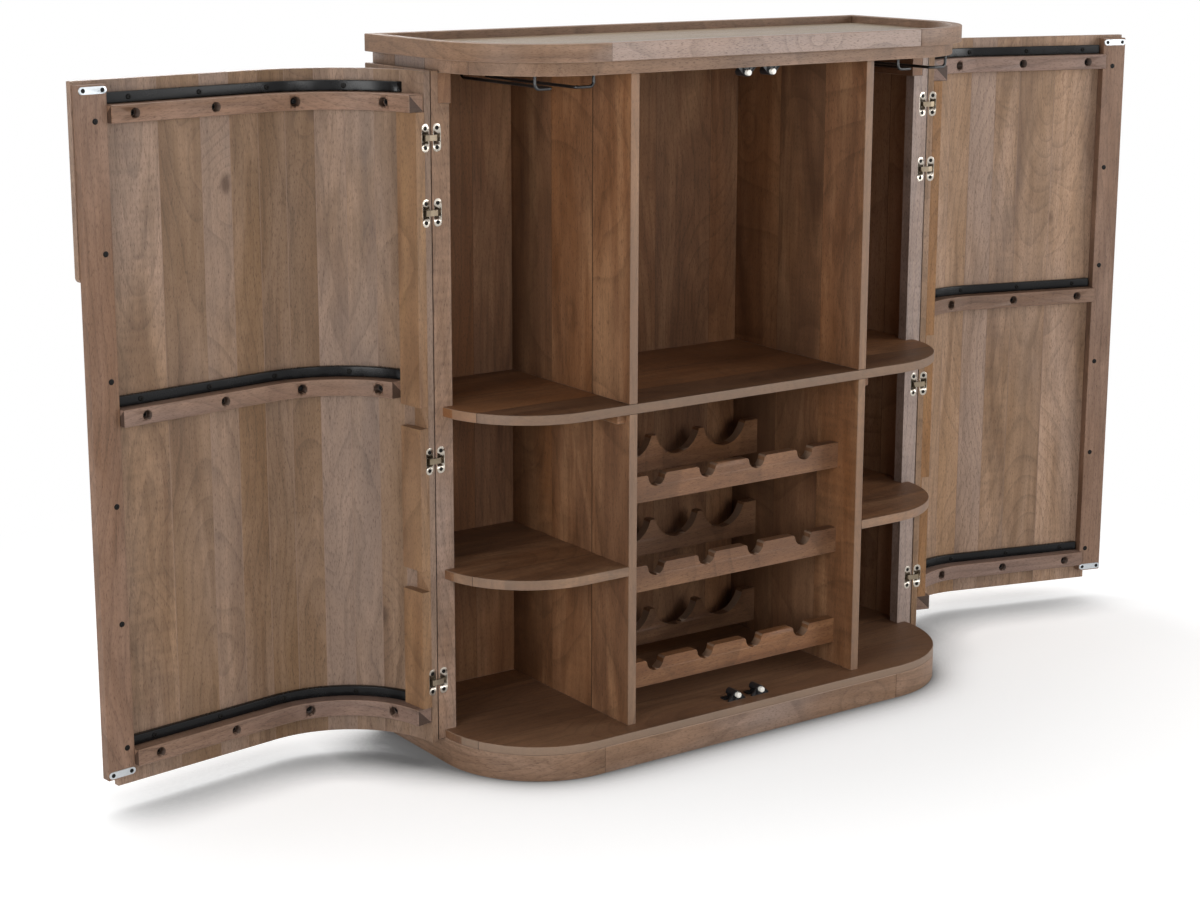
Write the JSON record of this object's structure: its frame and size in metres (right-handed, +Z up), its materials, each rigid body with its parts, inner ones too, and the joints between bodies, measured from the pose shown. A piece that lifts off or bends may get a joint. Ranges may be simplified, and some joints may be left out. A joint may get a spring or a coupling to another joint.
{
  "type": "bar armoire",
  "caption": "Free-standing wooden bar cabinet with round front corners, a tray top, shelves, a bottle rack, glass-stem holders and a pair of curved hinged doors shown open.",
  "frame": {"origin": "middle of the base underside, on the floor, at the width and depth centre of the carcass", "axes": "+X to the right for someone facing the doors, +Y to the back, +Z up"},
  "size_m": [2.1133, 0.4, 1.168],
  "materials": {
    "frame_wood": "washed, matt lacquer",
    "tray_wood": "washed, matt lacquer",
    "stave_wood": "washed, matt lacquer",
    "door_rail_wood": "washed, matt lacquer",
    "batten_wood": "matt lacquer",
    "interior_wood": "matt lacquer",
    "black_steel": "satin black",
    "black_wire": "satin black",
    "nickel_steel": "satin nickel",
    "zinc_steel": "bright zinc",
    "black_plastic": "moulded",
    "white_plastic": "moulded"
  },
  "bodies": {
    "carcass": {"back_panel": "interior_wood", "cradle_rail_high": "interior_wood", "cradle_rail_low": "interior_wood", "cradle_rail_mid": "interior_wood", "deck_board": "interior_wood", "divider_lower_left": "interior_wood", "divider_lower_right": "interior_wood", "divider_upper_left": "interior_wood", "divider_upper_right": "interior_wood", "hinge_cups_stile": "nickel_steel", "hinge_pins": "nickel_steel", "latch_barrels": "black_plastic", "lower_shelf_left": "interior_wood", "lower_shelf_right": "interior_wood", "mid_shelf": "interior_wood", "neck_rail_high": "interior_wood", "neck_rail_low": "interior_wood", "neck_rail_mid": "interior_wood", "plinth_back_rail": "frame_wood", "plinth_centre_brace": "frame_wood", "plinth_corner_left": "frame_wood", "plinth_corner_right": "frame_wood", "plinth_front_rail": "frame_wood", "rim_back_rail": "frame_wood", "rim_corner_left": "frame_wood", "rim_corner_right": "frame_wood", "rim_front_rail": "frame_wood", "shelf_cleats": "interior_wood", "side_panel_left": "interior_wood", "side_panel_right": "interior_wood", "side_stile_left": "batten_wood", "side_stile_right": "batten_wood", "stem_holders": "black_wire", "sub_top_board": "frame_wood", "top_cleats": "interior_wood", "tray_panel": "tray_wood"},
    "door_left": {"door_bars_left": "black_steel", "door_rail_high_left": "door_rail_wood", "door_rail_low_left": "door_rail_wood", "door_rail_mid_left": "door_rail_wood", "door_staves_left": "stave_wood", "hinge_batten_left": "batten_wood", "hinge_cups_door_left": "nickel_steel", "meeting_stile_left": "door_rail_wood", "strike_plates_left": "zinc_steel"},
    "door_right": {"door_bars_right": "black_steel", "door_rail_high_right": "door_rail_wood", "door_rail_low_right": "door_rail_wood", "door_rail_mid_right": "door_rail_wood", "door_staves_right": "stave_wood", "hinge_batten_right": "batten_wood", "hinge_cups_door_right": "nickel_steel", "meeting_stile_right": "door_rail_wood", "strike_plates_right": "zinc_steel"},
    "hinge_links_left": {"hinge_links_left": "nickel_steel"},
    "hinge_links_right": {"hinge_links_right": "nickel_steel"},
    "latch_tip_deck_left": {"latch_tip_deck_left": "white_plastic"},
    "latch_tip_deck_right": {"latch_tip_deck_right": "white_plastic"},
    "latch_tip_top_left": {"latch_tip_top_left": "white_plastic"},
    "latch_tip_top_right": {"latch_tip_top_right": "white_plastic"}
  },
  "joints": [
    {"name": "left_door_hinge", "type": "hinge", "parent": "carcass", "child": "door_left", "pos_m": [-0.5152, -0.004, 0.5815], "axis": [0, 0, 1], "range_deg": [-8, 172]},
    {"name": "left_link_turn", "type": "hinge", "parent": "carcass", "child": "hinge_links_left", "pos_m": [-0.5076, 0.002, 0.5815], "axis": [0, 0, 1], "range_deg": [-4.34, 83.06]},
    {"name": "right_door_hinge", "type": "hinge", "parent": "carcass", "child": "door_right", "pos_m": [0.5152, -0.004, 0.5815], "axis": [0, 0, -1], "range_deg": [-15, 165]},
    {"name": "right_link_turn", "type": "hinge", "parent": "carcass", "child": "hinge_links_right", "pos_m": [0.5076, 0.002, 0.5815], "axis": [0, 0, -1], "range_deg": [-7.7, 79.7]},
    {"name": "deck_left_latch_push", "type": "slide", "parent": "carcass", "child": "latch_tip_deck_left", "axis": [0, 1, 0], "range_m": [0, 0.005], "stiffness_N_per_m": 400},
    {"name": "deck_right_latch_push", "type": "slide", "parent": "carcass", "child": "latch_tip_deck_right", "axis": [0, 1, 0], "range_m": [0, 0.005], "stiffness_N_per_m": 400},
    {"name": "top_left_latch_push", "type": "slide", "parent": "carcass", "child": "latch_tip_top_left", "axis": [0, 1, 0], "range_m": [0, 0.005], "stiffness_N_per_m": 400},
    {"name": "top_right_latch_push", "type": "slide", "parent": "carcass", "child": "latch_tip_top_right", "axis": [0, 1, 0], "range_m": [0, 0.005], "stiffness_N_per_m": 400}
  ],
  "couplings": [
    {"joint": "left_link_turn", "follows": "left_door_hinge", "ratio": 0.48},
    {"joint": "right_link_turn", "follows": "right_door_hinge", "ratio": 0.48}
  ]
}
